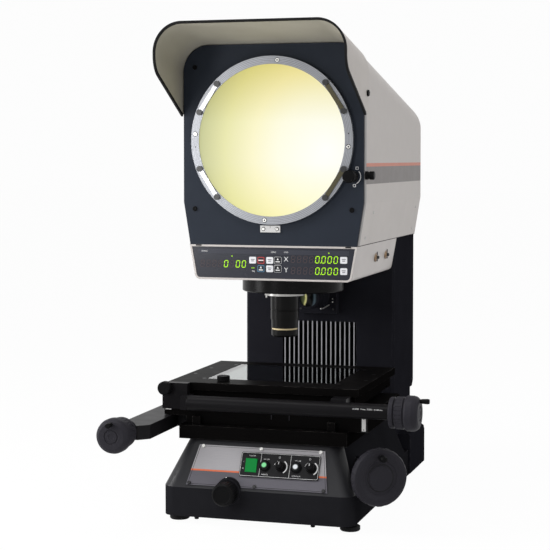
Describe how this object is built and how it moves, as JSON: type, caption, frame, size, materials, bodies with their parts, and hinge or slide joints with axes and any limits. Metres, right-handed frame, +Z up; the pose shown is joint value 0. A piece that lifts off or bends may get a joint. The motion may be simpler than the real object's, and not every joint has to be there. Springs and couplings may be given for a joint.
{
  "type": "optical comparator",
  "caption": "Bench profile projector with a hooded round ground-glass screen, lens turret, glass stage on three handwheel slides and a cast base with light controls.",
  "frame": {"origin": "bench point below the middle of the instrument's overall box", "axes": "+X to the operator's right, +Y from the screen to the back, +Z up"},
  "size_m": [0.6134, 0.8662, 0.9914],
  "materials": {
    "base_black": "satin dark grey paint",
    "column_black": "fine textured black paint",
    "cover_grey": "light grey powder coat",
    "panel_black": "blue-black satin paint",
    "frame_grey": "mid grey paint",
    "silver": "satin anodised",
    "control_plate": "printed satin plate",
    "black_plastic": "moulded black plastic",
    "wheel_grey": "dark grey satin",
    "rubber": "matt black rubber",
    "screen_glass": "ground glass",
    "clear_glass": "polished glass",
    "coated_glass": "coated lens glass",
    "mirror": "front surface mirror",
    "grille_grey": "grey paint",
    "stage_black": "black oxide",
    "steel": "ground steel",
    "brass": "machined brass",
    "inner_grey": "bare casting",
    "green_button": "gloss green plastic",
    "lit_button": "translucent white plastic",
    "display": "smoked display window"
  },
  "bodies": {
    "frame": {"base_casting": "base_black", "base_bottom_plate": "inner_grey", "levelling_feet": "rubber", "control_panel": "control_plate", "switch_panel": "black_plastic", "lamp_cover": "column_black", "contour_lamp": "clear_glass", "condenser_lens": "coated_glass", "lower_mirror": "mirror", "column_casting": "column_black", "column_rear_cover": "column_black", "vent_grille": "grille_grey", "mains_inlet": "black_plastic", "illuminator_housing": "column_black", "illuminator_lens": "coated_glass", "head_casting": "inner_grey", "head_cover": "cover_grey", "front_frame": "frame_grey", "front_panel": "panel_black", "hood": "cover_grey", "hood_edging": "rubber", "hood_screws": "black_plastic", "first_mirror": "mirror", "main_mirror": "mirror", "counter_housing": "cover_grey", "display_panel": "display"},
    "rocker": {"power_rocker": "green_button"},
    "surface_button": {"surface_light_button": "lit_button"},
    "contour_button": {"contour_light_button": "lit_button"},
    "surface_dimmer": {"surface_dimmer_knob": "black_plastic"},
    "contour_dimmer": {"contour_dimmer_knob": "black_plastic"},
    "iris": {"iris_knob": "black_plastic"},
    "screen": {"screen_ring": "silver", "screen_glass": "screen_glass", "screen_retainer": "inner_grey"},
    "clip_1": {"chart_clip_1": "steel"},
    "clip_2": {"chart_clip_2": "steel"},
    "clip_3": {"chart_clip_3": "steel"},
    "clip_4": {"chart_clip_4": "steel"},
    "fine_turn": {"fine_turn_knob": "black_plastic"},
    "screen_clamp": {"screen_clamp_knob": "black_plastic"},
    "turret": {"lens_turret": "column_black", "lens_barrel": "column_black", "lens_glass": "coated_glass"},
    "lift_table": {"z_table": "stage_black", "z_screw": "steel", "feed_arm": "stage_black"},
    "lift_nut": {"z_nut_gear": "brass"},
    "lift_wheel": {"z_handwheel": "wheel_grey"},
    "lift_crank": {"z_crank_handle": "black_plastic"},
    "y_wheel": {"y_handwheel": "wheel_grey"},
    "y_crank": {"y_crank_handle": "black_plastic"},
    "y_carriage": {"y_carriage": "stage_black"},
    "x_stage": {"x_table": "stage_black", "stage_glass": "clear_glass", "x_feed_tube": "stage_black"},
    "x_wheel": {"x_handwheel": "wheel_grey"},
    "x_crank": {"x_crank_handle": "black_plastic"},
    "thumb_screw": {"stage_thumb_screw": "black_plastic"},
    "stage_lock": {"stage_lock_knob": "black_plastic"}
  },
  "joints": [
    {"name": "screen_turn", "type": "hinge", "parent": "frame", "child": "screen", "pos_m": [-0.03665, -0.14285, 0.762], "axis": [0, 1, 0], "continuous": true},
    {"name": "fine_knob_turn", "type": "hinge", "parent": "frame", "child": "fine_turn", "pos_m": [0.13032, -0.15785, 0.69009], "axis": [0, 1, 0], "continuous": true},
    {"name": "screen_clamp_turn", "type": "hinge", "parent": "frame", "child": "screen_clamp", "pos_m": [0.16135, -0.12735, 0.692], "axis": [1, 0, 0], "range_deg": [0, 90]},
    {"name": "clip_1_swing", "type": "hinge", "parent": "screen", "child": "clip_1", "pos_m": [0.07703, -0.14885, 0.87636], "axis": [0, 1, 0], "range_deg": [0, 30]},
    {"name": "clip_2_swing", "type": "hinge", "parent": "screen", "child": "clip_2", "pos_m": [-0.18736, -0.14885, 0.81933], "axis": [0, 1, 0], "range_deg": [0, 30]},
    {"name": "clip_3_swing", "type": "hinge", "parent": "screen", "child": "clip_3", "pos_m": [-0.15033, -0.14885, 0.64764], "axis": [0, 1, 0], "range_deg": [0, 30]},
    {"name": "clip_4_swing", "type": "hinge", "parent": "screen", "child": "clip_4", "pos_m": [0.11406, -0.14885, 0.70467], "axis": [0, 1, 0], "range_deg": [0, 30]},
    {"name": "turret_turn", "type": "hinge", "parent": "frame", "child": "turret", "pos_m": [-0.03665, 0.01515, 0.463], "axis": [0, 0, 1], "continuous": true},
    {"name": "lift_wheel_turn", "type": "hinge", "parent": "frame", "child": "lift_wheel", "pos_m": [0.19645, -0.20975, 0.11], "axis": [0.5878, -0.809, 0], "range_deg": [0, 2161]},
    {"name": "lift", "type": "slide", "parent": "frame", "child": "lift_table", "axis": [0, 0, 1], "range_m": [0, 0.06]},
    {"name": "lift_nut_turn", "type": "hinge", "parent": "frame", "child": "lift_nut", "pos_m": [0.09335, -0.06785, 0.11], "axis": [0, 0, 1], "range_deg": [0, 2161]},
    {"name": "lift_crank_spin", "type": "hinge", "parent": "lift_wheel", "child": "lift_crank", "pos_m": [0.19645, -0.20975, 0.149], "axis": [0.5878, -0.809, 0], "continuous": true},
    {"name": "y_wheel_turn", "type": "hinge", "parent": "lift_table", "child": "y_wheel", "pos_m": [-0.27265, -0.35815, 0.197], "axis": [0, -1, 0], "range_deg": [-1801, 1801]},
    {"name": "y_feed", "type": "slide", "parent": "lift_table", "child": "y_carriage", "axis": [0, 1, 0], "range_m": [-0.025, 0.025]},
    {"name": "y_crank_spin", "type": "hinge", "parent": "y_wheel", "child": "y_crank", "pos_m": [-0.27265, -0.42285, 0.221], "axis": [0, -1, 0], "continuous": true},
    {"name": "x_feed", "type": "slide", "parent": "y_carriage", "child": "x_stage", "axis": [1, 0, 0], "range_m": [-0.05, 0.05]},
    {"name": "x_wheel_turn", "type": "hinge", "parent": "x_stage", "child": "x_wheel", "pos_m": [0.23165, -0.24285, 0.241], "axis": [1, 0, 0], "range_deg": [-3601, 3601]},
    {"name": "x_crank_spin", "type": "hinge", "parent": "x_wheel", "child": "x_crank", "pos_m": [0.29335, -0.24285, 0.265], "axis": [1, 0, 0], "continuous": true},
    {"name": "thumb_screw_turn", "type": "hinge", "parent": "x_stage", "child": "thumb_screw", "pos_m": [-0.12965, -0.17085, 0.28], "axis": [0, 0, 1], "range_deg": [0, 360]},
    {"name": "stage_lock_turn", "type": "hinge", "parent": "x_stage", "child": "stage_lock", "pos_m": [-0.23165, -0.23285, 0.267], "axis": [0, -1, 0], "range_deg": [0, 180]},
    {"name": "power_switch", "type": "hinge", "parent": "frame", "child": "rocker", "pos_m": [-0.05165, -0.229, 0.1198], "axis": [1, 0, 0], "range_deg": [-16, 0]},
    {"name": "surface_button_press", "type": "slide", "parent": "frame", "child": "surface_button", "axis": [0, 0.8718, -0.4898], "range_m": [0, 0.0025], "stiffness_N_per_m": 400},
    {"name": "contour_button_press", "type": "slide", "parent": "frame", "child": "contour_button", "axis": [0, 0.8718, -0.4898], "range_m": [0, 0.0025], "stiffness_N_per_m": 400},
    {"name": "surface_dimmer_turn", "type": "hinge", "parent": "frame", "child": "surface_dimmer", "pos_m": [0.00835, -0.23336, 0.12225], "axis": [0, -0.8718, 0.4898], "range_deg": [0, 270]},
    {"name": "contour_dimmer_turn", "type": "hinge", "parent": "frame", "child": "contour_dimmer", "pos_m": [0.07035, -0.23336, 0.12225], "axis": [0, -0.8718, 0.4898], "range_deg": [0, 270]},
    {"name": "iris_turn", "type": "hinge", "parent": "frame", "child": "iris", "pos_m": [-0.09265, -0.26285, 0.07], "axis": [0, -1, 0], "range_deg": [0, 180]}
  ],
  "couplings": [
    {"joint": "fine_knob_turn", "follows": "screen_turn", "ratio": -14.125},
    {"joint": "lift_wheel_turn", "follows": "lift", "rad_per_m": 628.32},
    {"joint": "lift_nut_turn", "follows": "lift", "rad_per_m": 628.32},
    {"joint": "y_wheel_turn", "follows": "y_feed", "rad_per_m": 1256.6},
    {"joint": "x_wheel_turn", "follows": "x_feed", "rad_per_m": 1256.6}
  ]
}
